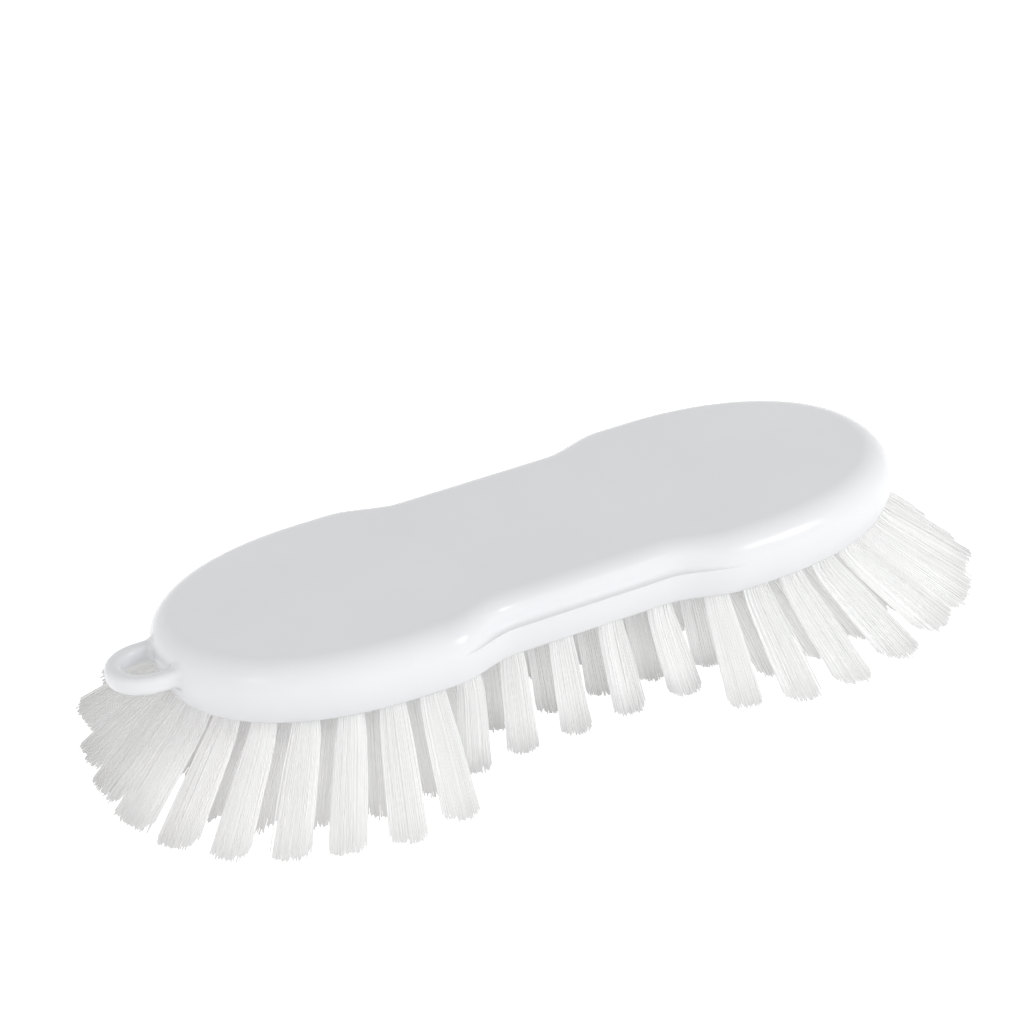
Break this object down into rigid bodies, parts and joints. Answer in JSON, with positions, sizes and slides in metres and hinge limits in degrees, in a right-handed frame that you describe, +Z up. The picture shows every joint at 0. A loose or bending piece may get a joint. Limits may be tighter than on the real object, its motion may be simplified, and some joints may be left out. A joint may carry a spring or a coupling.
{
  "type": "scrub brush",
  "caption": "Hand scrub brush: a waisted two-lobed moulded block with finger grips and a hanging loop, and staple-set tufts of stiff bristles that fan out at both ends.",
  "frame": {"origin": "middle of the brush on the surface that it stands on, which the trimmed bristle tips touch", "axes": "+X along the block, away from the hanging loop; +Z up, out of the block's flat top"},
  "size_m": [0.2354, 0.1084, 0.041],
  "materials": {
    "block": "smooth moulded gloss",
    "bristle": "straight extruded filaments, satin, with cut ends",
    "staple": "drawn flat wire"
  },
  "bodies": {
    "root": {"brush_block": "block", "outer_tufts_left_nose": "bristle", "outer_tufts_left_front": "bristle", "outer_tufts_left_back": "bristle", "outer_tufts_waist_front": "bristle", "outer_tufts_waist_back": "bristle", "outer_tufts_right_nose": "bristle", "outer_tufts_right_front": "bristle", "outer_tufts_right_back": "bristle", "second_tufts_left_front": "bristle", "second_tufts_left_back": "bristle", "second_tufts_waist_front": "bristle", "second_tufts_waist_back": "bristle", "second_tufts_right_front": "bristle", "second_tufts_right_back": "bristle", "core_tufts_left": "bristle", "core_tufts_waist": "bristle", "core_tufts_right": "bristle", "outer_staples": "staple", "second_staples": "staple", "core_staples": "staple"}
  },
  "joints": []
}
